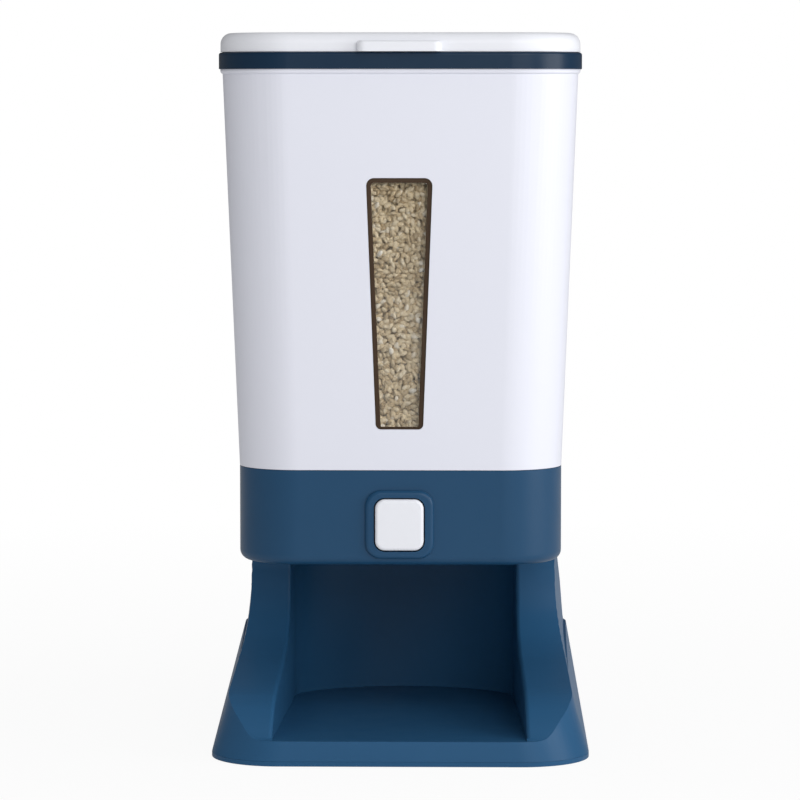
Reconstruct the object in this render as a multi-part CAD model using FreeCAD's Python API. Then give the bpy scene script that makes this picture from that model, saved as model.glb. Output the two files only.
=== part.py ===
"""Press-button rice dispenser: a tapered bin on a flared stand with an open bay.

Millimetres, +Z up, front towards -Y. The origin is the centre of the footprint on the table.
Each function below makes one physical piece, or one group of identical pieces.
"""
import FreeCAD
import Part
import math
import os

V = FreeCAD.Vector

# ---------------------------------------------------------------- driving dimensions
TOTAL_HEIGHT = 400.0

# levels, from the table up
FEET_HEIGHT = 0.4
PLATE_TOP = 3.0
SKIRT_BOTTOM = 3.1
LIP_TOP = 14.0
LEDGE_TOP = 51.0
BAND_BOTTOM = 109.8
BAND_TOP = 162.0
BODY_TOP = 377.7
MOUTH_TOP = 380.4
COLLAR_TOP = 389.4

# plan sizes: width along X at y = 0, depth along Y, corner radius; a fourth value is the slope at
# which each side spreads out towards the rear
BASE_PLAN = (209.4, 264.0, 38.0, 0.0)
LEDGE_PLAN = (186.4, 249.0, 38.0, 0.035)
BAND_PLAN = (178.0, 244.0, 34.0)
BODY_TOP_PLAN = (195.0, 260.0, 37.0)
MOUTH_PLAN = (197.4, 263.0, 38.0)
COLLAR_PLAN = (199.0, 265.0, 38.5)
LID_PLAN = (197.2, 262.0, 38.0)

# walls and fits
SHELL_WALL = 2.6
STAND_WALL = 3.0
JOINT_GAP = 0.3
BUTTON_GAP = 0.7
PART_GAP = 0.1

# stand
BAY_BACK = 68.0

# right half of the bay in plan, from the front to where the bowed back wall starts: x, y, and
# the direction across the wall there
BAY_HALF_LINE = [(70.7, -152.0, 1.0, 0.0), (64.1, 27.8, 1.0, 0.0), (61.25, 39.2, 0.897, 0.441),
                 (54.0, 48.5, 0.64, 0.769)]

# side view of the stand as (y, z) points, from the front lip backwards
LIP_LINE = [(-128.4, 14.0), (-126.0, 15.1), (-123.3, 17.6), (-119.4, 21.5), (-113.0, 26.5), (-104.0, 31.8),
            (-90.0, 36.6)]
RIM_LINE = [(-90.0, 36.6), (-60.0, 40.7), (-30.0, 43.8), (10.0, 47.3), (64.0, 51.0)]
ARM_LINE = [(-90.0, 36.6), (-70.0, 40.6), (-50.0, 44.4), (-32.0, 48.6), (-17.0, 55.5), (-7.0, 66.0),
            (-1.5, 79.0), (1.0, 94.0)]
LIP_END_SLOPE = 0.24

# plans of the arms and column from the foot up: level, width, depth, corner radius, side slope
ARM_PLANS = [(3.1, 205.4, 260.0, 36.0, 0.0), (27.0, 197.2, 253.4, 35.0, 0.012),
             (39.0, 191.8, 249.4, 34.0, 0.016), (51.0, 185.0, 245.8, 33.0, 0.025),
             (62.0, 180.2, 243.8, 32.5, 0.040), (76.0, 176.4, 242.6, 32.0, 0.049),
             (92.0, 175.0, 242.1, 32.0, 0.036), (109.8, 174.6, 242.0, 32.0, 0.016)]

# window
WINDOW_BOTTOM = 184.6
WINDOW_TOP = 321.6
WINDOW_HALF_BOTTOM = 12.9
WINDOW_HALF_TOP = 18.1
SEAL_WIDTH = 2.6

# push button
BUTTON_WIDTH = 26.5
BUTTON_HEIGHT = 28.1
BUTTON_RADIUS = 5.2
BUTTON_Z = 132.5
BUTTON_FRONT = -126.3
BUTTON_WALL = 2.2
BUTTON_FACE_WALL = 2.5
BUTTON_FACE_RADIUS = 2.0
FLANGE_REACH = 2.5
SURROUND_SIZE = 37.6
SURROUND_RADIUS = 8.6
SURROUND_RISE = 2.6

# metering drum, with its rack and pinion drive
DRUM_Y = -63.0
DRUM_Z = 135.0
DRUM_RADIUS = 19.0
DRUM_HALF_LENGTH = 48.0
DRUM_GAP = 0.4
AXLE_RADIUS = 2.5
GEAR_MODULE = 1.0
GEAR_TEETH = 12
GEAR_X = 59.0
GEAR_WIDTH = 5.0
RACK_BAR_TOP = 148.0
SPRING_RADIUS = 3.0
SPRING_WIRE = 0.4
SPRING_TURNS = 9
SPRING_FRONT = -50.0
SPRING_BACK = -17.0
SPRING_Z = 145.0

# hopper and contents
THROAT_HALF_X = 46.0
THROAT_FRONT = -77.0
THROAT_BACK = -49.0
THROAT_Z = 156.0
HOPPER_WALL = 2.4
RICE_TOP = 335.0

# lid hinge, at the back
HINGE_Y = 132.5
HINGE_Z = 392.5
HINGE_OUTER = 4.5
HINGE_BORE = 1.55
HINGE_PIN = 1.5
HINGE_X = 55.0
LID_KNUCKLE = 20.0
EAR_WIDTH = 8.0

# stand details and fasteners
PLATE_RIB_TOP = 5.0
PLATE_RIB_INSET = 4.4
STAND_BOSS_RADIUS = 4.0
RUN_ON = 20.0
FOOT_RADIUS = 8.0
FOOT_TOP = 2.0
SCREW_RADIUS = 1.6
SCREW_HEAD_RADIUS = 3.0
SCREW_HEAD_HEIGHT = 1.6
SCREW_BITE = 6.0

# housing details
HOUSING_FLOOR = 112.4
HOUSING_BOSS_TOP = 121.0
HOUSING_BOSS_RADIUS = 4.5
SPOUT_HOLE_HALF = 41.0
SPOUT_HOLE_FRONT = -52.4
SPOUT_HOLE_BACK = -13.6
POST_HALF = 4.0
POST_DEPTH = 3.5
BAND_EDGE_RADIUS = 5.5
SLEEVE_WALL = 2.2
SLEEVE_BACK = -104.0
FLANGE_FRONT = -103.7
FLANGE_BACK = -101.6
YOKE_BACK = -98.0
YOKE_SCREW_X = (-7.5, 7.5)
YOKE_SCREW_RADIUS = 1.25
YOKE_HEAD_RADIUS = 2.6
RACK_END = -52.0

# gear teeth
PRESSURE_ANGLE = math.radians(20.0)
PITCH_RADIUS = GEAR_MODULE * GEAR_TEETH / 2
PINION_ADDENDUM = 0.8
RACK_ADDENDUM = 0.7
GEAR_ROOT_DEPTH = 1.05
TOOTH_SLACK = 0.15

# drum casing and spout
CHAMBER_HALF = 53.0
CHAMBER_BACK = -12.5
CHAMBER_SCREW_Y = (-80.0, -30.0)
DROP_FRONT = -46.0
DROP_BACK = -15.0
DROP_TOP = 143.0
DROP_FOOT_FRONT = -50.0
DROP_FOOT_TOP = 124.0
ROOF_POCKET_FRONT = -43.0
ROOF_POCKET_BOTTOM = 146.0
LUG_OUT = 63.5
LUG_THICKNESS = 2.5
POCKET_HALF = 13.0
POCKET_FLOOR = 5.0
CHAMBER_TOP = 155.0
BUSH_RADIUS = 4.0
AXLE_HALF = 63.5
CHUTE_BOTTOM = 104.0
CHUTE_TOP = 122.0
CHUTE_WALL = 1.8
CHUTE_LOW = (27.0, -46.0, -18.0)
CHUTE_HIGH = (48.6, -48.2, -15.4)

# bin details
BODY_BOTTOM = 162.2
WINDOW_RADIUS_LOW = 2.7
WINDOW_RADIUS_HIGH = 4.4
FRONT_RISE = 0.66
BACK_RISE = 0.70
SIDE_RISE = 1.0

# collar and lid details
COLLAR_MOUTH_INSET = 5.6
LID_RIM_INSET = 8.4
LID_CEILING = 397.0
LID_EDGE_RADIUS = 6.0
TAB_HALF = 22.7
TAB_FRONT = -137.0
TAB_HEIGHT = 5.8

PARTS_DIR = "parts"


# ---------------------------------------------------------------- shared geometry
def save(node, shape):
    """Write one piece to its STEP file, named after the piece."""
    solids = shape.Solids
    if not shape.isValid() or not solids:
        raise ValueError(node + " is not a valid solid")
    print(f"{node:22s} solids {len(solids)}  volume {shape.Volume / 1000:9.2f} cm3")
    shape.exportStep(os.path.join(PARTS_DIR, node + ".step"))


def box(x0, x1, y0, y1, z0, z1):
    """An upright box between two corners."""
    return Part.makeBox(x1 - x0, y1 - y0, z1 - z0, V(x0, y0, z0))


def rod_x(radius, x0, x1, y, z):
    """A round bar along X."""
    return Part.makeCylinder(radius, x1 - x0, V(x0, y, z), V(1, 0, 0))


def rod_y(radius, x, y0, y1, z):
    """A round bar along Y."""
    return Part.makeCylinder(radius, y1 - y0, V(x, y0, z), V(0, 1, 0))


def rod_z(radius, x, y, z0, z1):
    """A round bar along Z."""
    return Part.makeCylinder(radius, z1 - z0, V(x, y, z0))


def fuse(shapes):
    """Join several solids into one and merge the faces that lie flush."""
    first, rest = shapes[0], shapes[1:]
    return first.fuse(rest).removeSplitter() if rest else first


def both_sides(shape):
    """The shape and its mirror image across the plane x = 0."""
    return [shape, shape.mirror(V(0, 0, 0), V(1, 0, 0))]


def rounded_wire(plan, z, inset=0.0):
    """A rounded rectangle in a level plane, centred on the Z axis, its sides sloped if asked."""
    width, depth, radius, *side_slope = plan
    slope = side_slope[0] if side_slope else 0.0
    lean = math.hypot(1, slope)
    half = width / 2 - inset * lean
    b = depth / 2 - inset
    r = radius - inset
    arcs = []
    for index, (sx, sy) in enumerate(((1, 1), (-1, 1), (-1, -1), (1, -1))):
        centre_y = sy * (b - r)
        centre_x = half + slope * centre_y - r * lean
        across = V(1 / lean, sy - slope / lean, 0).normalize()
        on_side = V(sx * (centre_x + r / lean), centre_y - r * slope / lean, z)
        on_end = V(sx * centre_x, sy * b, z)
        middle = V(sx * (centre_x + r * across.x), centre_y + r * across.y, z)
        first, last = (on_side, on_end) if index % 2 == 0 else (on_end, on_side)
        arcs.append((first, middle, last))
    edges = []
    for index, (first, middle, last) in enumerate(arcs):
        edges.append(Part.Arc(first, middle, last).toShape())
        edges.append(Part.makeLine(last, arcs[(index + 1) % len(arcs)][0]))
    return Part.Wire(edges)


def prism(plan, z0, z1, inset=0.0):
    """A straight block with a rounded-rectangle plan."""
    return Part.Face(rounded_wire(plan, z0, inset)).extrude(V(0, 0, z1 - z0))


def tapered(plan0, z0, plan1, z1, inset=0.0):
    """A block whose rounded-rectangle plan changes evenly from z0 to z1."""
    wires = [rounded_wire(plan0, z0, inset), rounded_wire(plan1, z1, inset)]
    return Part.makeLoft(wires, True, True)


def between(plan0, plan1, share):
    """The plan that lies the given share of the way from plan0 to plan1."""
    return tuple(a + (b - a) * share for a, b in zip(plan0, plan1))


def side_profile(points, x0, x1):
    """Extrude a closed outline of (y, z) points from x0 to x1."""
    outline = [V(x0, y, z) for y, z in points]
    return Part.Face(Part.makePolygon(outline + outline[:1])).extrude(V(x1 - x0, 0, 0))


def front_profile(points, y0, y1):
    """Extrude a closed outline of (x, z) points from y0 to y1."""
    outline = [V(x, y0, z) for x, z in points]
    return Part.Face(Part.makePolygon(outline + outline[:1])).extrude(V(0, y1 - y0, 0))


def front_block(width, height, radius, y0, y1, z_centre):
    """A rounded square block that points to the front, centred on x = 0."""
    block = box(-width / 2, width / 2, y0, y1, z_centre - height / 2, z_centre + height / 2)
    long_edges = [e for e in block.Edges if abs(e.tangentAt(e.FirstParameter).y) > 0.9]
    return block.makeFillet(radius, long_edges)


def edges_at(shape, test):
    """The edges of a shape whose two ends and middle all pass the test."""
    chosen = []
    for edge in shape.Edges:
        points = edge.discretize(3)
        if all(test(p) for p in points):
            chosen.append(edge)
    return chosen


# ---------------------------------------------------------------- stand and base
def swept_cut(edges, start, end):
    """Everything above and in front of a side-view line that runs from start back to end."""
    roof = BAND_BOTTOM + 2 * RUN_ON
    front = -BASE_PLAN[1] / 2 - RUN_ON
    loop = [end, V(0, end.y, roof), V(0, front, roof), V(0, front, start.z), start]
    lines = [Part.makeLine(a, b) for a, b in zip(loop, loop[1:])]
    face = Part.Face(Part.Wire(edges + lines))
    face.translate(V(-BASE_PLAN[0], 0, 0))
    return face.extrude(V(2 * BASE_PLAN[0], 0, 0))


def lip_edge(drop):
    """The steep start that the skirt's rim and the arms share at the front corners."""
    spots = [V(0, y + drop, z - drop) for y, z in LIP_LINE]
    curve = Part.BSplineCurve()
    span = (spots[-1] - spots[0]).Length
    curve.interpolate(Points=spots, InitialTangent=V(0, 0.97, 0.24) * span,
                      FinalTangent=V(0, 1, LIP_END_SLOPE).normalize() * span)
    return curve.toShape()


def swept_edge(points, drop, end_direction):
    """The part of a side-view line behind the lip, tangent to the lip where it starts."""
    spots = [V(0, y + drop, z - drop) for y, z in points]
    curve = Part.BSplineCurve()
    span = (spots[-1] - spots[0]).Length
    curve.interpolate(Points=spots, InitialTangent=V(0, 1, LIP_END_SLOPE).normalize() * span,
                      FinalTangent=end_direction * span)
    return curve.toShape()


def rim_cut(drop):
    """All that lies above the skirt's rim, which climbs from the lip back to the ledge."""
    start = V(0, LIP_LINE[0][0] + drop, LIP_LINE[0][1] - drop)
    knee = V(0, RIM_LINE[-1][0] + drop, RIM_LINE[-1][1] - drop)
    end = V(0, BASE_PLAN[1] / 2 + RUN_ON, knee.z)
    edges = [lip_edge(drop), swept_edge(RIM_LINE, drop, V(0, 1, 0)), Part.makeLine(knee, end)]
    return swept_cut(edges, start, end)


def arm_cut(drop):
    """All that lies in front of the arms: a hollow sweep from the lip up to the column."""
    start = V(0, LIP_LINE[0][0] + drop, LIP_LINE[0][1] - drop)
    end = V(0, ARM_LINE[-1][0] + drop, ARM_LINE[-1][1] - drop)
    edges = [lip_edge(drop), swept_edge(ARM_LINE, drop, V(0, 0, 1))]
    return swept_cut(edges, start, end)


def bay_outline(grow, z):
    """The bay in plan: sides that draw in to the rear, soft corners and a bowed back wall."""
    right = [V(x + grow * across_x, y + grow * across_y, z) for x, y, across_x, across_y in BAY_HALF_LINE]
    left = [V(-spot.x, spot.y, z) for spot in right]
    edges = [
        Part.makeLine(left[0], left[1]),
        Part.Arc(left[1], left[2], left[3]).toShape(),
        Part.Arc(left[3], V(0, BAY_BACK + grow, z), right[3]).toShape(),
        Part.Arc(right[3], right[2], right[1]).toShape(),
        Part.makeLine(right[1], right[0]),
        Part.makeLine(right[0], left[0]),
    ]
    return Part.Wire(edges)


def bay_block(grow):
    """The open bay: a level floor and upright walls, open to the front and above."""
    floor = LIP_TOP - grow
    return Part.Face(bay_outline(grow, floor)).extrude(V(0, 0, BAND_BOTTOM + RUN_ON - floor))


def arm_block(inset, z1):
    """The arms and the column as one block whose flanks flow out towards the foot."""
    wires = [rounded_wire(plan, z, inset) for z, *plan in ARM_PLANS[:-1]]
    wires.append(rounded_wire(ARM_PLANS[-1][1:], z1, inset))
    return Part.makeLoft(wires, True, False)


def stand_block(inset, z0, z1):
    """The stand as a full block: the skirt, the arms just inside it and the column."""
    grow = (LEDGE_TOP - z0) / (LEDGE_TOP - SKIRT_BOTTOM)
    skirt = tapered(between(LEDGE_PLAN, BASE_PLAN, grow), z0, LEDGE_PLAN, LEDGE_TOP, inset)
    arms = arm_block(inset, z1).cut(arm_cut(inset))
    return skirt.cut(rim_cut(inset)).fuse(arms).cut(bay_block(inset))


def base_screw_places():
    """The four screws near the corners of the base."""
    return [(sx * 84.0, sy * 106.0) for sx in (-1, 1) for sy in (-1, 1)]


def housing_screw_places():
    """The four screws that hold the housing on the column."""
    return [(sx * x, y) for sx in (-1, 1) for x, y in ((77.0, 36.0), (60.0, 100.0))]


def make_stand():
    """The moulded stand: a thin shell, open below, with bosses for the base screws."""
    full = stand_block(0.0, SKIRT_BOTTOM, BAND_BOTTOM)
    void = stand_block(STAND_WALL, SKIRT_BOTTOM - 8.0, BAND_BOTTOM - STAND_WALL)
    shell = full.cut(void)
    for x, y in base_screw_places():
        boss = rod_z(STAND_BOSS_RADIUS, x, y, PLATE_RIB_TOP + PART_GAP, LEDGE_TOP).common(full)
        shell = shell.fuse(boss).cut(rod_z(SCREW_RADIUS, x, y, 0, PLATE_RIB_TOP + SCREW_BITE))
    for x, y in housing_screw_places():
        shell = shell.cut(rod_z(SCREW_RADIUS + 0.2, x, y, BAND_BOTTOM - 5.0, BAND_BOTTOM + 1.0))
    return shell


def make_base_plate():
    """The closing plate under the stand, with a rib that locates it and wells for the feet."""
    plate = prism(BASE_PLAN, FEET_HEIGHT, PLATE_TOP)
    rib = prism(BASE_PLAN, PLATE_TOP, PLATE_RIB_TOP, PLATE_RIB_INSET)
    plate = fuse([plate, rib])
    for x, y in base_screw_places():
        plate = plate.cut(rod_z(SCREW_RADIUS + 0.2, x, y, 0, PLATE_RIB_TOP + 1.0))
        plate = plate.cut(rod_z(SCREW_HEAD_RADIUS + 0.2, x, y, 0, PLATE_TOP))
    for x, y in foot_places():
        plate = plate.cut(rod_z(FOOT_RADIUS + PART_GAP, x, y, 0, FOOT_TOP))
    return plate


def foot_places():
    """The four rubber feet, inboard of the screws."""
    return [(sx * 66.0, sy * 104.0) for sx in (-1, 1) for sy in (-1, 1)]


def make_rubber_feet():
    """Four flat rubber pads set in the base plate's wells."""
    return Part.Compound([rod_z(FOOT_RADIUS, x, y, 0, FOOT_TOP) for x, y in foot_places()])


def upright_screw(x, y, head_z, tip_z):
    """A pan-head screw along Z, its head on the side away from the tip."""
    away = 1 if head_z > tip_z else -1
    shank = rod_z(SCREW_RADIUS, x, y, min(head_z, tip_z), max(head_z, tip_z))
    head_end = head_z + away * SCREW_HEAD_HEIGHT
    head = rod_z(SCREW_HEAD_RADIUS, x, y, min(head_z, head_end), max(head_z, head_end))
    return fuse([shank, head])


def make_base_screws():
    """Four screws up through the base plate into the stand's bosses."""
    seat = PLATE_TOP
    tip = PLATE_RIB_TOP + SCREW_BITE - 0.5
    return Part.Compound([upright_screw(x, y, seat, tip) for x, y in base_screw_places()])


def make_housing_screws():
    """Four screws up through the column's top into the housing's bosses."""
    seat = BAND_BOTTOM - STAND_WALL
    tip = HOUSING_BOSS_TOP - 1.5
    return Part.Compound([upright_screw(x, y, seat, tip) for x, y in housing_screw_places()])


# ---------------------------------------------------------------- dispensing housing and button
def make_housing():
    """The band: a shell with a floor, the raised button surround and its guide sleeve."""
    outer = prism(BAND_PLAN, BAND_BOTTOM, BAND_TOP)
    rim = edges_at(outer, lambda p: p.z < BAND_BOTTOM + 0.01)
    outer = outer.makeFillet(BAND_EDGE_RADIUS, rim)
    inner = prism(BAND_PLAN, HOUSING_FLOOR, BAND_TOP + 1.0, SHELL_WALL)
    shell = outer.cut(inner)
    front = -BAND_PLAN[1] / 2
    surround = front_block(SURROUND_SIZE, SURROUND_SIZE, SURROUND_RADIUS, front - SURROUND_RISE,
                           front + 1.0, BUTTON_Z)
    bevel = edges_at(surround, lambda p: p.y < front - SURROUND_RISE + 0.01)
    surround = surround.makeFillet(SURROUND_RISE - 0.3, bevel)
    sleeve = front_block(BUTTON_WIDTH + 2 * SLEEVE_WALL, BUTTON_HEIGHT + 2 * SLEEVE_WALL,
                         BUTTON_RADIUS + SLEEVE_WALL, front + 0.5, SLEEVE_BACK, BUTTON_Z)
    hole = front_block(BUTTON_WIDTH + 2 * BUTTON_GAP, BUTTON_HEIGHT + 2 * BUTTON_GAP,
                       BUTTON_RADIUS + BUTTON_GAP, front - 10.0, SLEEVE_BACK + 1.0, BUTTON_Z)
    shell = fuse([shell, surround, sleeve]).cut(hole)
    shell = shell.cut(box(-SPOUT_HOLE_HALF, SPOUT_HOLE_HALF, SPOUT_HOLE_FRONT, SPOUT_HOLE_BACK,
                          BAND_BOTTOM - 1.0, HOUSING_FLOOR + 1.0))
    posts = both_sides(box(GEAR_X - POST_HALF, GEAR_X + POST_HALF, SPRING_BACK, SPRING_BACK + POST_DEPTH,
                           HOUSING_FLOOR - 0.5, SPRING_Z + POST_HALF))
    bosses = [rod_z(HOUSING_BOSS_RADIUS, x, y, HOUSING_FLOOR - 0.5, HOUSING_BOSS_TOP)
              for x, y in housing_screw_places()]
    shell = fuse([shell] + posts + bosses)
    for x, y in housing_screw_places():
        shell = shell.cut(rod_z(SCREW_RADIUS, x, y, BAND_BOTTOM - 1.0, HOUSING_BOSS_TOP - 1.0))
    for x, y in chamber_screw_places():
        shell = shell.cut(rod_z(SCREW_RADIUS, x, y, BAND_BOTTOM + 0.5, HOUSING_FLOOR + 1.0))
    return shell


def make_push_button():
    """The square button: a cup with a rounded face, a stop flange and two screw bosses."""
    body = front_block(BUTTON_WIDTH, BUTTON_HEIGHT, BUTTON_RADIUS, BUTTON_FRONT, FLANGE_FRONT, BUTTON_Z)
    face_edge = edges_at(body, lambda p: p.y < BUTTON_FRONT + 0.01)
    body = body.makeFillet(BUTTON_FACE_RADIUS, face_edge)
    flange = front_block(BUTTON_WIDTH + 2 * FLANGE_REACH, BUTTON_HEIGHT + 2 * FLANGE_REACH, BUTTON_RADIUS,
                         FLANGE_FRONT, FLANGE_BACK, BUTTON_Z)
    hollow = front_block(BUTTON_WIDTH - 2 * BUTTON_WALL, BUTTON_HEIGHT - 2 * BUTTON_WALL,
                         BUTTON_RADIUS - BUTTON_WALL, BUTTON_FRONT + BUTTON_FACE_WALL, FLANGE_BACK + 1.0,
                         BUTTON_Z)
    cup = fuse([body, flange]).cut(hollow)
    bosses = [rod_y(3.0, x, BUTTON_FRONT + 2.0, FLANGE_BACK, BUTTON_Z) for x in YOKE_SCREW_X]
    cup = fuse([cup] + bosses)
    for x in YOKE_SCREW_X:
        cup = cup.cut(rod_y(YOKE_SCREW_RADIUS, x, FLANGE_BACK - 9.0, FLANGE_BACK + 1.0, BUTTON_Z))
    return cup


def rack_tooth(y_centre):
    """One straight-sided rack tooth that points down, centred on y_centre."""
    pitch_z = DRUM_Z + PITCH_RADIUS
    lean = math.tan(PRESSURE_ANGLE)
    half_pitch = (math.pi * GEAR_MODULE / 2 - TOOTH_SLACK) / 2
    tip = half_pitch - RACK_ADDENDUM * lean
    root = half_pitch + GEAR_ROOT_DEPTH * lean
    tip_z = pitch_z - RACK_ADDENDUM
    root_z = pitch_z + GEAR_ROOT_DEPTH
    points = [(y_centre - tip, tip_z), (y_centre + tip, tip_z), (y_centre + root, root_z),
              (y_centre + root, root_z + 0.5), (y_centre - root, root_z + 0.5), (y_centre - root, root_z)]
    return side_profile(points, GEAR_X - 3.0, GEAR_X + 3.0)


def make_drive_yoke():
    """The cross bar behind the button, with a toothed bar down each side of the drum."""
    bar_bottom = DRUM_Z + PITCH_RADIUS + GEAR_ROOT_DEPTH
    cross = box(-GEAR_X - 3.0, GEAR_X + 3.0, FLANGE_BACK, YOKE_BACK, 138.0, RACK_BAR_TOP)
    pad = box(-13.0, 13.0, FLANGE_BACK, YOKE_BACK, 124.0, 139.0)
    bar = box(GEAR_X - 3.0, GEAR_X + 3.0, YOKE_BACK - 0.5, RACK_END, bar_bottom, RACK_BAR_TOP)
    nub = rod_y(1.8, GEAR_X, RACK_END - 0.5, RACK_END + 6.0, SPRING_Z)
    pitch = math.pi * GEAR_MODULE
    teeth = [rack_tooth(DRUM_Y + (k + 0.5) * pitch) for k in range(-5, 2)]
    side = fuse([bar, nub] + teeth)
    yoke = fuse([cross, pad] + both_sides(side))
    for x in YOKE_SCREW_X:
        yoke = yoke.cut(rod_y(YOKE_SCREW_RADIUS + 0.1, x, FLANGE_BACK - 1.0, YOKE_BACK + 1.0, BUTTON_Z))
        yoke = yoke.cut(rod_y(YOKE_HEAD_RADIUS + 0.1, x, YOKE_BACK - 1.6, YOKE_BACK + 1.0, BUTTON_Z))
    return yoke


def make_yoke_screws():
    """Two screws from behind the yoke into the button's bosses, heads sunk flush."""
    screws = []
    for x in YOKE_SCREW_X:
        shank = rod_y(YOKE_SCREW_RADIUS, x, FLANGE_BACK - 8.5, YOKE_BACK - 1.0, BUTTON_Z)
        head = rod_y(YOKE_HEAD_RADIUS, x, YOKE_BACK - 1.6, YOKE_BACK - 0.1, BUTTON_Z)
        screws.append(fuse([shank, head]))
    return Part.Compound(screws)


def make_return_spring(side):
    """A coil spring along Y behind one toothed bar."""
    length = SPRING_BACK - SPRING_FRONT - 2 * SPRING_WIRE
    coil_radius = SPRING_RADIUS - SPRING_WIRE
    helix = Part.makeHelix(length / SPRING_TURNS, length, coil_radius)
    start = V(coil_radius, 0, 0)
    section = Part.Wire([Part.makeCircle(SPRING_WIRE, start, V(0, 1, 0))])
    coil = Part.Wire(helix).makePipeShell([section], True, True)
    coil.rotate(V(0, 0, 0), V(1, 0, 0), -90)
    coil.translate(V(side * GEAR_X, SPRING_FRONT + SPRING_WIRE, SPRING_Z))
    return coil


# ---------------------------------------------------------------- metering drum and its casing
def chamber_screw_places():
    """The four screws that hold the metering chamber on the housing's floor."""
    return [(sx * GEAR_X, y) for sx in (-1, 1) for y in CHAMBER_SCREW_Y]


def make_metering_chamber():
    """The casing round the drum: throat on top, drop space behind, open below that space."""
    half = DRUM_HALF_LENGTH + 1.0
    outer_half = CHAMBER_HALF
    front = DRUM_Y - DRUM_RADIUS - DRUM_GAP - 2.0
    block = box(-outer_half, outer_half, front, CHAMBER_BACK, HOUSING_FLOOR + PART_GAP, CHAMBER_TOP)
    bore = rod_x(DRUM_RADIUS + DRUM_GAP, -half, half, DRUM_Y, DRUM_Z)
    throat = box(-THROAT_HALF_X, THROAT_HALF_X, THROAT_FRONT, THROAT_BACK, DRUM_Z, CHAMBER_TOP + 1.0)
    drop = box(-half, half, DROP_FRONT, DROP_BACK, BAND_BOTTOM, DROP_TOP)
    under = box(-half, half, DROP_FOOT_FRONT, DROP_BACK, BAND_BOTTOM, DROP_FOOT_TOP)
    roof_pocket = box(-half, half, ROOF_POCKET_FRONT, DROP_BACK, ROOF_POCKET_BOTTOM, CHAMBER_TOP + 1.0)
    casing = block.cut([bore, throat, drop, under, roof_pocket])
    keeper = box(outer_half - 0.5, LUG_OUT, front, -72.0, RACK_BAR_TOP + 0.4, RACK_BAR_TOP + 3.0)
    rest_top = DRUM_Z + PITCH_RADIUS + GEAR_ROOT_DEPTH - 0.35
    rest = box(outer_half - 0.5, LUG_OUT, front, -80.0, rest_top - 2.3, rest_top)
    foot_top = HOUSING_FLOOR + PART_GAP + LUG_THICKNESS
    feet = [box(outer_half - 0.5, LUG_OUT, y - 4.0, y + 4.0, HOUSING_FLOOR + PART_GAP, foot_top)
            for y in CHAMBER_SCREW_Y]
    lugs = []
    for lug in [keeper, rest] + feet:
        lugs += both_sides(lug)
    casing = fuse([casing] + lugs)
    casing = casing.cut(rod_x(BUSH_RADIUS, -outer_half - 1.0, outer_half + 1.0, DRUM_Y, DRUM_Z))
    for x, y in chamber_screw_places():
        casing = casing.cut(rod_z(SCREW_RADIUS + 0.1, x, y, BAND_BOTTOM, foot_top + 1.0))
    return casing


def make_chamber_screws():
    """Four screws down through the chamber's feet into the housing's floor."""
    seat = HOUSING_FLOOR + PART_GAP + LUG_THICKNESS
    return Part.Compound([upright_screw(x, y, seat, BAND_BOTTOM + 0.8) for x, y in chamber_screw_places()])


def make_metering_drum():
    """The drum, with one measure pocket that faces up at rest."""
    drum = rod_x(DRUM_RADIUS, -DRUM_HALF_LENGTH, DRUM_HALF_LENGTH, DRUM_Y, DRUM_Z)
    end = DRUM_HALF_LENGTH - 2.0
    floor = DRUM_Z + POCKET_FLOOR
    pocket = box(-end, end, DRUM_Y - POCKET_HALF, DRUM_Y + POCKET_HALF, floor, DRUM_Z + DRUM_RADIUS + 1.0)
    low = edges_at(pocket, lambda p: p.z < floor + 0.01 and abs(abs(p.y - DRUM_Y) - POCKET_HALF) < 0.01)
    pocket = pocket.makeFillet(POCKET_FLOOR, low)
    return drum.cut(pocket).cut(rod_x(AXLE_RADIUS, -60.0, 60.0, DRUM_Y, DRUM_Z))


def make_drum_axle():
    """The steel axle that carries the drum and both pinions."""
    return rod_x(AXLE_RADIUS, -AXLE_HALF, AXLE_HALF, DRUM_Y, DRUM_Z)


def involute(angle):
    """The involute function."""
    return math.tan(angle) - angle


def polar(radius, angle):
    """A point in the YZ plane, its angle measured from +Z towards +Y."""
    return V(0, radius * math.sin(angle), radius * math.cos(angle))


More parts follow.
